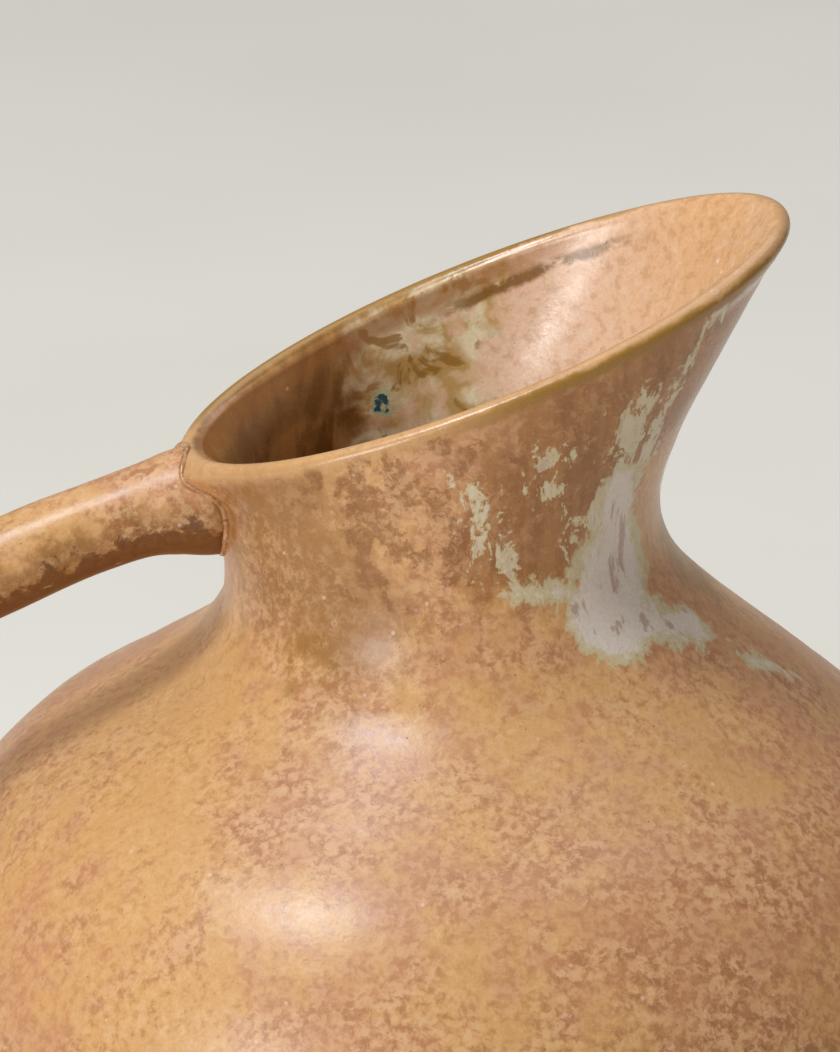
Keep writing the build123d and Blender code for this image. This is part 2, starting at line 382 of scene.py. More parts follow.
def tube_faces(rows, points, first_centre, last_centre):
    """Faces of a tube whose rows run away from its first end, closed by a hub at each end."""
    faces = [face[::-1] for face in grid_faces(rows, HANDLE_AROUND)]
    for row, centre, flip in ((0, first_centre, False), (rows - 1, last_centre, True)):
        hub = len(points)
        points.append(centre)
        for k in range(HANDLE_AROUND):
            low = row * HANDLE_AROUND + k
            after = row * HANDLE_AROUND + (k + 1) % HANDLE_AROUND
            faces.append((hub, after, low) if flip else (hub, low, after))
    return faces


def held_back(ring, tree):
    """The ring's points kept below the lip and less than half way into the wall."""
    kept = []
    for point in ring:
        if point[0] > HANDLE_TUCK_X:
            point = np.array([point[0], point[1], min(point[2], HANDLE_TUCK_Z)])
        near, normal, _, _ = tree.find_nearest(Vector(point))
        depth = (near - Vector(point)).dot(normal)
        kept.append(point + max(depth - DEEPEST_SHARE * WALL, 0.0) * np.array(normal))
    return np.array(kept)


def build_handle(tree, material):
    """Round bar with a flared and rounded end pressed on to the neck."""
    centres, runs, radii = handle_places()
    run = runs[0]
    start = centres[0] - HANDLE_PRESS * run
    radius = radii[0]
    rows = [circle(start, run, radius * reach) for reach in (0.05, 0.3, 0.6)]
    for k in range(HANDLE_END_STEPS + 1):
        angle = 0.5 * math.pi * k / HANDLE_END_STEPS
        along = HANDLE_END_ROUND * (1.0 - math.cos(angle))
        ring = radius - HANDLE_END_ROUND * (1.0 - math.sin(angle))
        rows.append(circle(start + along * run, run, ring, 0.012))
    gone = np.linalg.norm(centres - start, axis=-1)
    kept = [k for k in range(len(centres)) if gone[k] > HANDLE_END_ROUND + 0.5]
    rounded = len(rows)
    for k in kept:
        rows.append(circle(centres[k], runs[k], radii[k]))
    pressed = rounded + PRESSED_ROWS
    grid = np.array([held_back(row, tree) for row in rows[:pressed]] + rows[pressed:])
    normals = -grid_normals(grid)
    bumps = 0.22 * waver(grid, 22.0, 5) + 0.12 * waver(grid, 8.0, 6)
    fade = np.clip((np.arange(len(rows)) - rounded + PRESSED_ROWS) / 8.0, 0.0, 1.0)[:, None]
    grid = grid + (bumps * fade)[..., None] * normals
    points = list(grid.reshape(-1, 3))
    faces = tube_faces(len(rows), points, np.mean(grid[0], axis=0), centres[kept[-1]])
    # How far each point faces down; the handle glaze darkens with it, partly as painted shade
    under = list(-normals[..., 2].reshape(-1)) + [0.0, 0.0]
    return new_piece("handle_bar", points, faces, material, {"underside": under})


def find_seam(tree):
    """Smoothed loop of points where the bar first touches the neck, and the bar's direction."""
    centres, runs, radii = handle_places()
    rings = []
    for k in range(2 * HANDLE_SPLITS, 0, -1):
        rings.append(circle(centres[k], runs[k], radii[k]))
    for k in range(SEAM_STEPS + 1):
        pressed = centres[0] - HANDLE_PRESS * k / SEAM_STEPS * runs[0]
        rings.append(circle(pressed, runs[0], radii[0]))
    seam = []
    for k in range(HANDLE_AROUND):
        spot = rings[-1][k]
        for ring in rings:
            near, normal, _, _ = tree.find_nearest(Vector(ring[k]))
            if (Vector(ring[k]) - near).dot(normal) < SEAM_TOUCH:
                spot = ring[k]
                break
        seam.append(spot)
    seam = np.array(seam)
    for _ in range(SEAM_SMOOTHINGS):
        seam = 0.5 * seam + 0.25 * (np.roll(seam, 1, axis=0) + np.roll(seam, -1, axis=0))
    return seam, runs[0]


def build_seam_bead(node, tree, material):
    """Thin roll of slip along the line where the bar's end meets the neck."""
    seam, run = find_seam(tree)
    way = np.roll(seam, -1, axis=0) - np.roll(seam, 1, axis=0)
    way /= np.linalg.norm(way, axis=-1, keepdims=True)
    across = np.cross(way, np.broadcast_to(run, way.shape))
    across /= np.linalg.norm(across, axis=-1, keepdims=True)
    second = np.cross(way, across)
    thick = SEAM_BEAD_R * (1.0 + 0.25 * waver(seam, 5.0, 21) + 0.15 * waver(seam, 1.8, 22))
    rows = []
    for k in range(SEAM_BEAD_AROUND):
        turn = -2.0 * math.pi * k / SEAM_BEAD_AROUND
        rows.append(seam + thick[:, None] * (math.cos(turn) * across + math.sin(turn) * second))
    grid = np.array(rows + rows[:1])
    faces = grid_faces(SEAM_BEAD_AROUND, HANDLE_AROUND)
    faces += row_faces((SEAM_BEAD_AROUND - 1) * HANDLE_AROUND, 0, HANDLE_AROUND)
    return new_piece(node, list(grid[:-1].reshape(-1, 3)), faces, material)


def build_collar(node, tree, centre, run, material):
    """Clay worked round a bar's end: a ring that leaves the bar and lands flat on the wall."""
    side = np.array([0.0, 1.0, 0.0])
    up = np.cross(side, run)
    rows = [[] for _ in range(COLLAR_STEPS + 1)]
    for k in range(HANDLE_AROUND):
        turn = 2.0 * math.pi * k / HANDLE_AROUND
        out = math.cos(turn) * side + math.sin(turn) * up
        start = centre + COLLAR_BAR_R * out
        foot_r = COLLAR_FOOT_R * (1.0 + 0.05 * math.sin(3 * turn + 1.0))
        aim = centre + COLLAR_REACH * run + foot_r * out
        spot, normal, _, _ = tree.find_nearest(Vector(aim))
        spot = np.array(spot)
        normal = np.array(normal)
        slope = out - np.dot(out, normal) * normal
        slope /= max(np.linalg.norm(slope), 1e-6)
        pull = 0.9 * np.linalg.norm(spot - start)
        foot = spot - 0.04 * normal
        for row in range(COLLAR_STEPS + 1):
            t = row / COLLAR_STEPS
            rows[row].append(
                (2 * t**3 - 3 * t**2 + 1) * start
                + (t**3 - 2 * t**2 + t) * pull * run
                + (3 * t**2 - 2 * t**3) * foot
                + (t**3 - t**2) * pull * slope
            )
    root = centre - COLLAR_ROOT * run
    grid = np.array([circle(root, run, COLLAR_BAR_R - 0.4)] + [np.array(row) for row in rows])
    points = list(grid.reshape(-1, 3))
    faces = tube_faces(len(grid), points, root, np.mean(grid[-1], axis=0) + 2.0 * run)
    marks = {"underside": [0.0] * len(points)}
    return new_piece(node, points, faces, material, marks)


def turned_piece(node, profile, around, material, rough=0.0):
    """Piece turned about Z from a closed half section of reach, height pairs, top first."""
    turn = np.linspace(0.0, 2.0 * math.pi, around, endpoint=False)
    rows = []
    for reach, height in profile:
        rows.append(np.stack([reach * np.cos(turn), reach * np.sin(turn), 0 * turn + height], -1))
    grid = np.array(rows)
    shift = rough * (waver(grid, 5.0, 9) + waver(grid, 1.6, 10)) / FLOOR_R
    grid[..., :2] *= (1.0 + shift)[..., None]
    faces = grid_faces(len(rows), around)
    faces += row_faces((len(rows) - 1) * around, 0, around)
    return new_piece(node, list(grid.reshape(-1, 3)), faces, material)


# ---------------------------------------------------------------- material nodes

def shade(red, green, blue):
    """Linear colour from the usual 0 to 255 screen values."""
    linear = []
    for value in (red, green, blue):
        part = value / 255.0
        linear.append(part / 12.92 if part <= 0.04045 else ((part + 0.055) / 1.055) ** 2.4)
    return (*linear, 1.0)


GLOSS_LEVEL = 0.58


class Paint:
    """Builds one material's nodes.  Places and lengths are in millimetres."""

    def __init__(self, name):
        self.material = bpy.data.materials.new(name)
        self.material.use_nodes = True
        self.tree = self.material.node_tree
        self.tree.nodes.clear()
        out = self.add("ShaderNodeOutputMaterial")
        self.shader = self.add("ShaderNodeBsdfPrincipled")
        self.join(self.shader.outputs[0], out.inputs[0])
        self.place = self.vector("MULTIPLY", self.add("ShaderNodeTexCoord").outputs["Object"],
                                 (1000.0, 1000.0, 1000.0))
        split = self.add("ShaderNodeSeparateXYZ")
        self.join(self.place, split.inputs[0])
        self.x, self.y, self.z = split.outputs
        # Both sides of the pot folded on to the -Y side
        fold = self.add("ShaderNodeCombineXYZ")
        self.join(self.x, fold.inputs[0])
        self.join(self.times(self.math("ABSOLUTE", self.y), -1.0), fold.inputs[1])
        self.join(self.z, fold.inputs[2])
        self.folded = fold.outputs[0]

    def add(self, kind):
        """New node of a kind."""
        return self.tree.nodes.new(kind)

    def join(self, source, target):
        """Links an output to an input, or sets the input's own value."""
        if isinstance(source, (int, float, tuple)):
            target.default_value = source
        else:
            self.tree.links.new(source, target)

    def vector(self, operation, a, b):
        """Vector operation on two values."""
        node = self.add("ShaderNodeVectorMath")
        node.operation = operation
        self.join(a, node.inputs[0])
        if operation == "SCALE":
            self.join(b, node.inputs["Scale"])
        else:
            self.join(b, node.inputs[1])
        return node.outputs["Value" if operation in ("DOT_PRODUCT", "DISTANCE") else 0]

    def math(self, operation, a, b=0.0, c=0.0, clamp=False):
        """Number operation on up to three values."""
        node = self.add("ShaderNodeMath")
        node.operation = operation
        node.use_clamp = clamp
        for value, socket in zip((a, b, c), node.inputs):
            self.join(value, socket)
        return node.outputs[0]

    def plus(self, first, *others):
        """Sum."""
        for value in others:
            first = self.math("ADD", first, value)
        return first

    def times(self, first, *others):
        """Product."""
        for value in others:
            first = self.math("MULTIPLY", first, value)
        return first

    def most(self, first, *others):
        """Largest."""
        for value in others:
            first = self.math("MAXIMUM", first, value)
        return first

    def offset(self, value, scale):
        """A 0 to 1 field turned into one about zero, times a scale."""
        return self.math("MULTIPLY_ADD", value, float(scale), -0.5 * scale)

    def step(self, value, low, high):
        """Smooth step: 0 at low and 1 at high, which may be the lower of the two."""
        node = self.add("ShaderNodeMapRange")
        node.interpolation_type = "SMOOTHSTEP"
        self.join(value, node.inputs["Value"])
        node.inputs["From Min"].default_value = min(low, high)
        node.inputs["From Max"].default_value = max(low, high)
        node.inputs["To Min"].default_value = 0.0 if low <= high else 1.0
        node.inputs["To Max"].default_value = 1.0 if low <= high else 0.0
        return node.outputs["Result"]

    def band(self, value, low, high, soft):
        """1 between low and high, with soft edges."""
        rise = self.step(value, low - soft, low + soft)
        return self.times(rise, self.step(value, high + soft, high - soft))

    def mix(self, share, a, b):
        """Colour a, or b where the share is 1."""
        node = self.add("ShaderNodeMix")
        node.data_type = "RGBA"
        self.join(share, node.inputs[0])
        self.join(a, node.inputs[6])
        self.join(b, node.inputs[7])
        return node.outputs[2]

    def grain(self, size, detail=3.0, rough=0.5, warp=0.0, stretch=1.0, shift=0.0):
        """Noise about 0.5 with features of a size; stretch draws them out along Z."""
        node = self.add("ShaderNodeTexNoise")
        vector = self.place
        if stretch != 1.0 or shift:
            move = self.add("ShaderNodeMapping")
            self.join(vector, move.inputs["Vector"])
            move.inputs["Scale"].default_value = (1.0, 1.0, 1.0 / stretch)
            move.inputs["Location"].default_value = (shift, 0.7 * shift, 1.3 * shift)
            vector = move.outputs[0]
        self.join(vector, node.inputs["Vector"])
        node.inputs["Scale"].default_value = 1.0 / size
        node.inputs["Detail"].default_value = detail
        node.inputs["Roughness"].default_value = rough
        node.inputs["Distortion"].default_value = warp
        return node.outputs["Fac"]

    def dots(self, spacing, radius, share, ring=0.0):
        """Round spots, 1 inside, in a share of scattered places; a ring width hollows them."""
        node = self.add("ShaderNodeTexVoronoi")
        node.inputs["Scale"].default_value = 1.0 / spacing
        self.join(self.place, node.inputs["Vector"])
        split = self.add("ShaderNodeSeparateColor")
        self.join(node.outputs["Color"], split.inputs[0])
        edge = radius / spacing
        inside = self.step(node.outputs["Distance"], edge, 0.5 * edge)
        if ring:
            hollow = (radius - ring) / spacing
            inside = self.band(node.outputs["Distance"], hollow, edge, 0.3 * ring / spacing)
        return self.times(inside, self.math("LESS_THAN", split.outputs[0], share))

    def near(self, spot, radius):
        """Millimetres inside a ball; both sides of the pot alike."""
        return self.math("SUBTRACT", radius, self.vector("DISTANCE", self.folded, spot))

    def along(self, a, b, radius):
        """Millimetres inside a round-ended rod from a to b; both sides of the pot alike."""
        run = Vector(b) - Vector(a)
        share = self.vector("DOT_PRODUCT", self.vector("SUBTRACT", self.folded, a),
                            tuple(run / run.length_squared))
        share = self.math("ADD", share, 0.0, clamp=True)
        spot = self.vector("ADD", self.vector("SCALE", tuple(run), share), a)
        return self.math("SUBTRACT", radius, self.vector("DISTANCE", self.folded, spot))

    def mark(self, name):
        """Number kept at each vertex under a name."""
        node = self.add("ShaderNodeAttribute")
        node.attribute_name = name
        return node.outputs["Fac"]

    def bump(self, height, strength, distance, below=None):
        """Relief, its distance in millimetres, over another relief below it."""
        node = self.add("ShaderNodeBump")
        node.inputs["Strength"].default_value = strength
        node.inputs["Distance"].default_value = distance * MM
        self.join(height, node.inputs["Height"])
        if below is not None:
            self.join(below, node.inputs["Normal"])
        return node.outputs["Normal"]

    def finish(self, colour, rough, normal=None):
        """Joins the shader's inputs; returns the material."""
        self.shader.inputs["Specular IOR Level"].default_value = GLOSS_LEVEL
        self.join(colour, self.shader.inputs["Base Color"])
        self.join(rough, self.shader.inputs["Roughness"])
        if normal is not None:
            self.join(normal, self.shader.inputs["Normal"])
        return self.material


# ---------------------------------------------------------------- glaze colours

YELLOW_TAN = shade(218, 164, 104)
MAUVE_TAN = shade(204, 144, 102)
LIGHT_FLECK = shade(232, 188, 138)
DARK_FLECK = shade(164, 106, 62)
DEEP_FLECK = shade(112, 64, 28)
OCHRE = shade(152, 102, 40)
NECK_BROWN = shade(146, 90, 38)
UNDER_BROWN = shade(108, 60, 14)
RUST = shade(172, 116, 62)
POOL_GREEN = shade(216, 202, 160)
POOL_GREY = shade(238, 226, 214)
POOL_STREAK = shade(160, 104, 92)
OLIVE_GREY = shade(168, 138, 84)
LIP_TAN = shade(220, 170, 116)
LIP_GOLD = shade(158, 114, 36)
DARK_GOLD = shade(134, 90, 22)
OLIVE = shade(206, 168, 104)
INSIDE_BROWN = shade(200, 150, 92)
INSIDE_DARK = shade(132, 90, 44)
INSIDE_CREAM = shade(252, 238, 198)
INSIDE_PINK = shade(248, 206, 172)
INSIDE_PEACH = shade(232, 178, 126)
INSIDE_WHITE = shade(248, 232, 216)
TEAL = shade(30, 92, 104)
TEAL_HALO = shade(190, 206, 168)
PIT = shade(74, 46, 30)
SPECK = shade(244, 214, 200)
CLAY = shade(178, 130, 90)
CLAY_DARK = shade(150, 102, 66)
GRIT = shade(92, 62, 42)

# Brown runs on the neck: place, size
RUNS = (
    ((8, -46, 236), 22),
    ((20, -44, 250), 24),
    ((38, -36, 262), 24),
    ((54, -26, 278), 20),
    ((62, 0, 262), 34),
)
# Pale pools of glaze on the spout side of the neck: from, to, half width
POOLS = (
    ((28, -36, 238), (29, -37, 224), 9.0),
    ((29, -37, 222), (26, -41, 214), 13.0),
    ((26, -41, 213), (45, -29, 205), 7.0),
    ((5, -47, 222), (22, -42, 218), 3.4),
    ((57, -27, 197), (64, -22, 193), 3.4),
)
# Broken flecks of the same glaze, higher on the neck
BROKEN_POOLS = (
    ((28, -38, 240), (30, -39, 257), 8.0),
    ((35, -34, 246), (38, -34, 258), 6.0),
    ((10, -46, 248), (20, -44, 251), 5.5),
    ((12, -45, 243), (19, -42, 234), 6.0),
    ((-5, -46, 243), (1, -47, 228), 6.5),
    ((40, -35, 260), (49, -33, 276), 5.0),
    ((24, -41, 229), (20, -42, 222), 5.0),
    ((28, -41, 210), (40, -34, 203), 4.5),
    ((56, -28, 199), (70, -20, 190), 4.5),
    ((40, -16, 236), (46, -10, 248), 6.0),
)


def fields(paint, crowd=0.0):
    """Noise that every glaze shares: cloudy tone, fine grain, and light and dark flecks."""
    slow = paint.grain(46.0, 2.0, 0.5)
    middle = paint.grain(9.0, 4.0, 0.62, shift=31.0)
    fine = paint.grain(2.1, 4.0, 0.64, warp=0.3)
    gather = paint.plus(paint.offset(slow, 0.16), paint.offset(middle, 0.26))
    light = paint.step(paint.plus(fine, gather), 0.54, 0.38)
    dark = paint.step(paint.plus(paint.math("SUBTRACT", fine, gather), crowd), 0.48, 0.66)
    tone = paint.plus(paint.times(slow, 0.55), paint.times(middle, 0.45))
    return paint.step(tone, 0.43, 0.57), fine, light, dark


def flecks(paint, colour, light, dark, deep=0.0, strength=1.0):
    """Light and dark flecks, and thin pale threads, over a glaze colour."""
    curl = paint.grain(3.4, 4.0, 0.60, warp=1.0, shift=53.0)
    thread = paint.step(paint.math("ABSOLUTE", paint.math("SUBTRACT", curl, 0.5)), 0.040, 0.004)
    cloud = paint.step(paint.grain(17.0, 3.0, 0.6, warp=0.4, shift=101.0), 0.40, 0.60)
    amount = paint.times(paint.math("MULTIPLY_ADD", cloud, 0.55, 0.45), strength)
    # deep turns the dark flecks deeper brown; the callers pass the lower belly and the handle's
    # underside in it, partly as painted shade
    stain = paint.mix(deep, DARK_FLECK, DEEP_FLECK)
    colour = paint.mix(paint.times(light, amount, 0.52), colour, LIGHT_FLECK)
    colour = paint.mix(paint.times(dark, amount, 0.58), colour, stain)
    return paint.mix(paint.times(thread, amount, 0.26), colour, LIGHT_FLECK)


def skin(paint, colour):
    """Pinholes, pale specks, bubble rings and dust that lie over every glaze."""
    pits = paint.dots(4.0, 0.24, 0.45)
    rings = paint.dots(5.3, 0.85, 0.14, ring=0.35)
    specks = paint.dots(7.0, 0.60, 0.28)
    dust = paint.grain(0.7, 2.0, 0.6, shift=11.0)
    colour = paint.mix(paint.times(rings, 0.18), colour, SPECK)
    colour = paint.mix(paint.times(specks, 0.45), colour, SPECK)
    colour = paint.mix(paint.times(pits, 0.6), colour, PIT)
    colour = paint.mix(paint.times(paint.step(dust, 0.35, 0.75), 0.16), colour, DARK_FLECK)
    return colour, pits, dust


def skin_bump(paint, fine, dark, pits, dust):
    """Orange-peel surface with sunk pinholes."""
    peel = paint.grain(3.6, 3.0, 0.55, shift=91.0)
    relief = paint.plus(paint.times(peel, 1.0), paint.times(fine, 0.5), paint.times(dark, -0.15))
    relief = paint.math("MULTIPLY_ADD", pits, -0.5, relief)
    normal = paint.bump(relief, 0.55, 0.16)
    return paint.bump(dust, 0.35, 0.05, normal)


def neck_colours(paint, colour, ragged):
    """Ochre and brown zones of the neck, under the flecks."""
    streak = paint.grain(4.5, 5.0, 0.62, stretch=5.0, shift=7.0)
    crumbs = paint.grain(1.4, 3.0, 0.6, shift=29.0)
    ochre = paint.most(paint.near((-42, -30, 226), 24.0), paint.near((-32, -42, 214), 18.0))
    ochre = paint.step(paint.plus(ochre, paint.offset(ragged, 36.0)), -6.0, 12.0)
    colour = paint.mix(paint.times(ochre, 0.85), colour, OCHRE)
    patch = paint.plus(paint.near((-20, -45, 240), 24.0), paint.offset(ragged, 150.0))
    patch = paint.plus(patch, paint.offset(crumbs, 30.0))
    patch = paint.step(patch, 12.0, 20.0)
    colour = paint.mix(paint.times(patch, 0.75), colour, NECK_BROWN)
    run = paint.most(*[paint.near(spot, float(radius)) for spot, radius in RUNS])
    run = paint.plus(run, paint.offset(streak, 22.0), paint.offset(ragged, 14.0))
    brown = paint.mix(paint.step(streak, 0.38, 0.62), NECK_BROWN, RUST)
    brownness = paint.step(run, -1.0, 10.0)
    colour = paint.mix(paint.times(brownness, 0.92), colour, brown)
    # Olive-grey patch at the right edge of the neck: partly olive-grey glaze, partly painted shade
    # and a painted grey reflection
    olive_glaze_and_sheen = paint.plus(paint.near((50, -6, 216), 15.0), paint.offset(ragged, 20.0))
    olive_glaze_and_sheen = paint.times(paint.step(olive_glaze_and_sheen, -1.0, 5.0), 0.6)
    thin = paint.math("MULTIPLY_ADD", paint.most(brownness, paint.times(ochre, 0.7)), -0.55, 1.0)
    return paint.mix(olive_glaze_and_sheen, colour, OLIVE_GREY), thin


def pools(paint, colour):
    """Pale pools on the spout side of the neck; returns the colour and the pools' share."""
    torn = paint.grain(4.5, 5.0, 0.70, warp=0.6, stretch=1.8, shift=19.0)
    crumbs = paint.grain(1.6, 3.0, 0.6, shift=23.0)
    pool = paint.most(*[paint.along(*one) for one in POOLS])
    pool = paint.plus(pool, paint.offset(torn, 14.0), paint.offset(crumbs, 3.0), -1.0)
    broken = paint.most(*[paint.along(*one) for one in BROKEN_POOLS])
    broken = paint.plus(broken, paint.offset(torn, 34.0), paint.offset(crumbs, 10.0), -4.4)
    pool = paint.most(pool, paint.math("MINIMUM", broken, 2.4))
    body = paint.mix(paint.step(pool, 1.0, 4.5), POOL_GREEN, POOL_GREY)
    vein = paint.grain(3.2, 3.0, 0.6, stretch=7.0, shift=41.0)
    vein = paint.times(paint.step(vein, 0.57, 0.66), paint.step(pool, 1.0, 3.5), 0.55)
    body = paint.mix(vein, body, POOL_STREAK)
    share = paint.step(pool, -0.6, 0.9)
    return paint.mix(paint.times(share, 0.9), colour, body), share


def lip_colours(paint, colour, edge):
    """Thin tan glaze on the crest, golden where it gathers below the crest."""
    toward_spout = paint.step(paint.x, -22.0, 12.0)
    pale = paint.times(paint.band(edge, 6.0, 9.5, 1.6), paint.step(paint.x, 42.0, 58.0), 0.6)
    colour = paint.mix(pale, colour, POOL_GREY)
    colour = paint.mix(paint.times(paint.step(edge, 5.5, 3.0), 0.7), colour, LIP_TAN)
    gold = paint.band(edge, 1.6, 5.2, 0.8)
    gold = paint.times(gold, paint.math("MULTIPLY_ADD", toward_spout, 0.80, 0.12))
    colour = paint.mix(gold, colour, LIP_GOLD)
    far = paint.times(paint.step(paint.y, 5.0, 20.0), paint.step(paint.x, 50.0, 20.0), 0.9)
    return paint.mix(paint.times(far, paint.step(edge, 4.0, 2.0)), colour, LIP_GOLD)


def inside_colours(paint, edge, ragged):
    """Inside: brown by the handle, a cream and olive swirl, and peach towards the spout."""
    streak = paint.grain(7.0, 4.0, 0.58, warp=0.5, stretch=3.0, shift=63.0)
    brown = paint.mix(paint.step(streak, 0.36, 0.64), INSIDE_DARK, INSIDE_BROWN)
    swirl = paint.grain(10.0, 3.0, 0.5, warp=1.1, shift=71.0)
    blot = paint.grain(8.0, 3.0, 0.55, warp=0.8, shift=83.0)
    flow = paint.mix(paint.step(swirl, 0.38, 0.58), OLIVE, INSIDE_CREAM)
    flow = paint.mix(paint.times(paint.step(blot, 0.48, 0.62), 0.7), flow, INSIDE_PINK)
    flow = paint.mix(paint.times(paint.step(blot, 0.42, 0.34), 0.8), flow, LIP_GOLD)
    blush = paint.mix(paint.step(paint.x, 26.0, 58.0), INSIDE_PINK, INSIDE_PEACH)
    freckle = paint.grain(2.4, 3.0, 0.6, shift=47.0)
    blush = paint.mix(paint.times(paint.step(freckle, 0.50, 0.66), 0.30), blush, RUST)
    blush = paint.mix(paint.times(paint.step(freckle, 0.46, 0.32), 0.22), blush, INSIDE_WHITE)
    blush = paint.mix(paint.times(paint.dots(4.6, 0.8, 0.3), 0.7), blush, INSIDE_WHITE)
    across = paint.plus(paint.x, paint.offset(ragged, 26.0), paint.offset(swirl, 20.0))
    inner = paint.mix(paint.step(across, -24.0, -8.0), brown, flow)
    inner = paint.mix(paint.step(across, 8.0, 18.0), inner, blush)
    below = paint.times(paint.band(edge, -9.0, -3.0, 1.5), paint.step(paint.x, 40.0, 10.0), 0.7)
    inner = paint.mix(below, inner, RUST)
    line = paint.band(edge, -12.5, -9.0, 1.0)
    line = paint.times(line, paint.band(paint.x, 2.0, 40.0, 8.0), paint.step(ragged, 0.36, 0.50))
    inner = paint.mix(paint.times(line, 0.9), inner, DARK_GOLD)
    shadow = paint.times(paint.band(edge, -16.0, -9.0, 2.5), paint.step(paint.x, -14.0, -30.0), 0.7)
    inner = paint.mix(shadow, inner, INSIDE_DARK)
    for spot, radius in (((-11, -41, 235), 2.6), ((14, -42, 250), 1.3)):
        depth = paint.plus(paint.near(spot, radius), paint.offset(freckle, 7.0))
        depth = paint.plus(depth, paint.offset(streak, 4.0))
        inner = paint.mix(paint.times(paint.step(depth, -1.4, 0.0), 0.7), inner, TEAL_HALO)
        inner = paint.mix(paint.step(depth, 0.5, 1.2), inner, TEAL)
    return paint.mix(paint.step(edge, -40.0, -80.0), inner, INSIDE_BROWN)


def make_glaze():
    """Glaze of the whole pot; from_lip is the run from the lip's crest, positive outside."""
    paint = Paint("pitcher_glaze")
    from_lip = paint.mark("from_lip")
    ragged = paint.grain(7.0, 5.0, 0.64, warp=0.3, shift=3.0)
    edge = paint.plus(from_lip, paint.offset(ragged, 5.0))
    # low darkens the lower spout side of the belly and crowds it with deeper dark flecks: partly
    # the glaze's browner tone there, partly painted shade on the side away from the lamps
    low = paint.times(paint.step(paint.z, 190.0, 120.0), paint.step(paint.x, -50.0, 50.0))
    tone, fine, light, dark = fields(paint, paint.times(low, 0.05))
    colour = paint.mix(tone, MAUVE_TAN, YELLOW_TAN)
    colour = paint.mix(paint.times(low, 0.40), colour, DARK_FLECK)
    colour, thin = neck_colours(paint, colour, ragged)
    colour = flecks(paint, colour, light, dark, low, thin)
    colour, pool = pools(paint, colour)
    colour = lip_colours(paint, colour, edge)
    inner = inside_colours(paint, edge, ragged)
    colour = paint.mix(paint.step(edge, -1.0, -3.0), colour, inner)
    colour, pits, dust = skin(paint, colour)
    wet = paint.step(paint.z, 215.0, 240.0)
    rough = paint.math("MULTIPLY_ADD", wet, -0.07, 0.32)
    rough = paint.math("MULTIPLY_ADD", light, 0.06, rough)
    rough = paint.math("MULTIPLY_ADD", pool, -0.06, rough)
    return paint.finish(colour, rough, skin_bump(paint, fine, dark, pits, dust))


def make_handle_glaze():
    """Glaze of the handle: caramel on top, olive at the side, brown underneath; the darkening
    towards the underside is partly glaze run underneath, partly painted shade.
    """
    paint = Paint("handle_glaze")
    under = paint.mark("underside")
    ragged = paint.grain(6.0, 5.0, 0.66, warp=0.3, shift=3.0)
    tone, fine, light, dark = fields(paint)
    colour = paint.mix(tone, MAUVE_TAN, YELLOW_TAN)
    # Ochre at the side, then brown and deep spots underneath, all following how far the bar faces
    # down: partly glaze runs, partly painted shade
    lean = paint.plus(under, paint.offset(ragged, 2.2))
    colour = paint.mix(paint.times(paint.step(lean, -0.65, 0.0), 0.8), colour, OCHRE)
    colour = flecks(paint, colour, light, dark, paint.step(under, -0.2, 0.5), 1.1)
    colour = paint.mix(paint.times(paint.step(lean, 0.14, 0.36), 0.9), colour, UNDER_BROWN)
    spots = paint.dots(5.0, 0.9, 0.35)
    colour = paint.mix(paint.times(spots, paint.step(under, -0.2, 0.5), 0.6), colour, DEEP_FLECK)
    colour, pits, dust = skin(paint, colour)
    rough = paint.math("MULTIPLY_ADD", light, 0.08, 0.34)
    return paint.finish(colour, rough, skin_bump(paint, fine, dark, pits, dust))


def make_joint_glaze():
    """Glaze over the worked clay of the joints, crackled dark where it is thin."""
    paint = Paint("joint_glaze")
    tone, fine, light, dark = fields(paint)
    colour = paint.mix(0.6, paint.mix(tone, MAUVE_TAN, YELLOW_TAN), OCHRE)
    colour = flecks(paint, colour, light, dark)
    crackle = paint.grain(1.8, 4.0, 0.7, warp=0.6, shift=13.0)
    colour = paint.mix(paint.times(paint.step(crackle, 0.54, 0.62), 0.75), colour, GRIT)
    colour = paint.mix(paint.times(paint.step(crackle, 0.42, 0.34), 0.3), colour, SPECK)
    colour, pits, dust = skin(paint, colour)
    return paint.finish(colour, 0.26, skin_bump(paint, fine, dark, pits, dust))


def make_clay(name, glaze_from, glaze_colour):
    """Bare fired clay, gritty, with the glaze stopping in an uneven line at a height."""
    paint = Paint(name)
    warm = paint.grain(9.0, 4.0, 0.6)
    grit = paint.grain(0.9, 4.0, 0.7, shift=5.0)
    colour = paint.mix(paint.step(warm, 0.40, 0.60), CLAY, CLAY_DARK)
    colour = paint.mix(paint.times(paint.step(grit, 0.50, 0.70), 0.5), colour, SPECK)
    grog = paint.dots(2.6, 0.42, 0.4)
    colour = paint.mix(paint.times(grog, 0.7), colour, GRIT)
    tone, fine, light, dark = fields(paint)
    glazed = flecks(paint, paint.mix(tone, MAUVE_TAN, glaze_colour), light, dark)
    line = paint.plus(paint.z, paint.offset(warm, 3.0))
    share = paint.step(line, glaze_from - 0.3, glaze_from + 0.3)
    colour = paint.mix(share, colour, glazed)
    burnt = paint.times(paint.band(line, glaze_from - 0.7, glaze_from + 0.4, 0.5), 0.6)
    colour = paint.mix(burnt, colour, DEEP_FLECK)
    rough = paint.math("MULTIPLY_ADD", share, -0.42, 0.84)
    relief = paint.plus(grit, paint.times(grog, 0.6))
    return paint.finish(colour, rough, paint.bump(relief, 0.5, 0.15))


def make_floor_paint():
    """Matt warm white of the studio floor."""
    paint = Paint("studio_floor")
    soft = paint.grain(420.0, 3.0, 0.5)
    colour = paint.mix(paint.step(soft, 0.3, 0.7), shade(238, 234, 226), shade(234, 228, 217))
    return paint.finish(colour, 0.9)


# ---------------------------------------------------------------- pieces

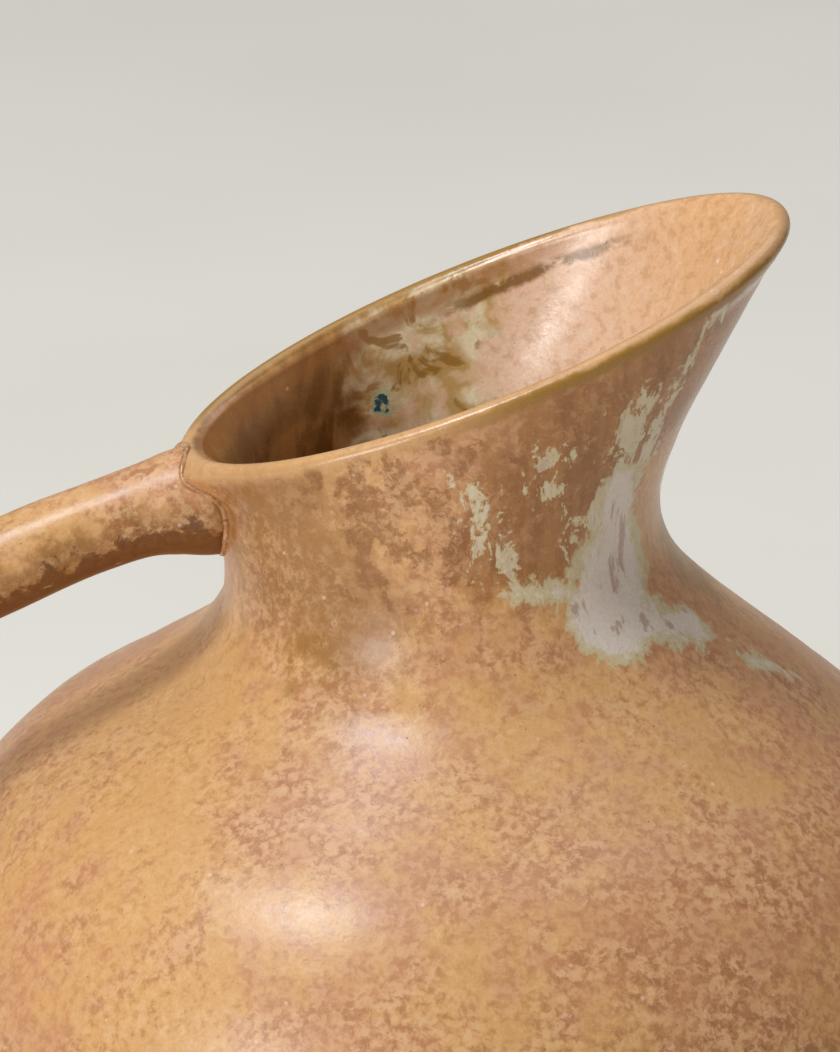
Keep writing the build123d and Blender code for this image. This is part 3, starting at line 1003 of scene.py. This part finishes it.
def add_pot():
    """Foot, floor and the five pieces of the wall; returns the outside for the handle to meet."""
    glaze = make_glaze()
    grid, joints, from_lip = build_wall()
    normals = grid_normals(grid)
    inner_end = len(grid) - 1 - HEEL_ROWS
    bands = (
        ("belly_lower", "foot", "equator", "body_glaze"),
        ("belly_upper", "equator", "neck", "body_glaze"),
        ("neck_collar", "neck", "throat", "neck_glaze"),
        ("spout_funnel", "throat", "seat", "neck_glaze"),
    )
    for node, low, high, slot in bands:
        bottom = inner_end - joints[low] + (HEEL_ROWS if low == "foot" else 0)
        spans = [(joints[low], joints[high]), (inner_end - joints[high], bottom)]
        wall_piece(node, spans, grid, normals, from_lip, glaze)
    spans = [(joints["seat"], inner_end - joints["seat"])]
    wall_piece("lip_bead", spans, grid, normals, from_lip, glaze)
    add_floor_disc()
    bare_clay = make_clay("bare_clay", FOOT_GLAZE_Z, YELLOW_TAN)
    turned_piece("foot_ring", FOOT_SECTION[::-1], 220, bare_clay, FOOT_ROUGHNESS)
    outside = grid[: joints["seat"] + 2 + LIP_ROWS // 2]
    faces = grid_faces(len(outside), AROUND)
    return BVHTree.FromPolygons([Vector(p) for p in outside.reshape(-1, 3)], faces)


def add_floor_disc():
    """Floor of the pot, slightly dished and ridged on top."""
    section = [(FLOOR_R, FLOOR_TOP_Z), (FLOOR_R, FLOOR_UNDER_Z)]
    section += [(HUB_R, FLOOR_UNDER_Z), (HUB_R, FLOOR_TOP_Z)]
    for k in range(1, FLOOR_RINGS):
        share = k / FLOOR_RINGS
        dish = FLOOR_DISH * math.sin(math.pi * share)
        ridge = FLOOR_RIDGE * math.sin(7.0 * math.pi * share)
        section.append((FLOOR_R * share, FLOOR_TOP_Z - dish + ridge))
    clay = make_clay("base_clay", FLOOR_GLAZE_Z, INSIDE_BROWN)
    turned_piece("base_floor", section[::-1], 160, clay)


def add_handle(wall):
    """Handle bar and the worked clay at its two ends."""
    build_handle(wall, make_handle_glaze())
    joint_glaze = make_joint_glaze()
    centres, runs, _ = handle_places()
    build_seam_bead("handle_upper_joint", wall, joint_glaze)
    build_collar("handle_lower_joint", wall, centres[-1], runs[-1], joint_glaze)


# ---------------------------------------------------------------- stage, lights, camera, metres

STAGE_REACH = 12.0
LIGHTS_PIVOT = (0.0, 0.0, 0.18)
FILL_STRENGTH = 0.23
CAMERA_LENS = 185.4
CAMERA_SENSOR = 36.0
CAMERA_PIVOT = (0.0, 0.0, 0.248)
CAMERA_AIM = (-0.0096, -0.0070, 0.2227)
CAMERA_DISTANCE = 1.150


def add_stage():
    """Large pale floor."""
    mesh = bpy.data.meshes.new("studio_floor")
    reach = STAGE_REACH
    corners = [(-reach, -reach, 0), (reach, -reach, 0), (reach, reach, 0), (-reach, reach, 0)]
    mesh.from_pydata(corners, [], [(0, 1, 2, 3)])
    mesh.materials.append(make_floor_paint())
    stage = bpy.data.objects.new("studio_floor", mesh)
    bpy.context.collection.objects.link(stage)


def direction(azimuth, elevation):
    """Unit vector; azimuth is from +X towards +Y, in degrees."""
    flat = math.cos(math.radians(elevation))
    turn = math.radians(azimuth)
    return Vector((flat * math.cos(turn), flat * math.sin(turn), math.sin(math.radians(elevation))))


def add_light(name, azimuth, elevation, distance, size, power, colour):
    """Soft panel light that faces the pitcher, placed by its direction from it."""
    lamp = bpy.data.lights.new(name, "AREA")
    lamp.shape = "RECTANGLE"
    lamp.size, lamp.size_y = size
    lamp.energy = power
    lamp.color = colour
    item = bpy.data.objects.new(name, lamp)
    bpy.context.collection.objects.link(item)
    toward = direction(azimuth, elevation)
    item.location = Vector(LIGHTS_PIVOT) + distance * toward
    item.rotation_euler = toward.to_track_quat("Z", "Y").to_euler()


def add_world():
    """Even pale fill light."""
    world = bpy.data.worlds.new("studio")
    bpy.context.scene.world = world
    world.use_nodes = True
    background = world.node_tree.nodes["Background"]
    background.inputs[0].default_value = (1.0, 0.985, 0.96, 1.0)
    background.inputs[1].default_value = FILL_STRENGTH


def add_camera():
    """Long lens from in front, a little to the handle side and above."""
    camera = bpy.data.cameras.new("camera")
    camera.lens = CAMERA_LENS
    camera.sensor_width = CAMERA_SENSOR
    camera.clip_start = 0.05
    camera.clip_end = 60.0
    item = bpy.data.objects.new("camera", camera)
    bpy.context.collection.objects.link(item)
    item.location = Vector(CAMERA_PIVOT) + CAMERA_DISTANCE * direction(-98.0, 18.0)
    item.rotation_euler = (item.location - Vector(CAMERA_AIM)).to_track_quat("Z", "Y").to_euler()
    bpy.context.scene.camera = item


add_stage()
add_handle(add_pot())
add_light("overhead_panel", -164.0, 63.5, 2.4, (0.55, 0.65), 27.0, (0.84, 0.93, 1.0))
add_light("window_panel", -138.0, 17.0, 2.4, (0.8, 0.9), 22.0, (0.99, 0.98, 0.98))
add_light("sky_panel", 66.0, 66.0, 2.8, (2.4, 2.4), 31.0, (1.0, 0.99, 0.97))
add_world()
add_camera()
bpy.context.scene.view_settings.view_transform = "Standard"
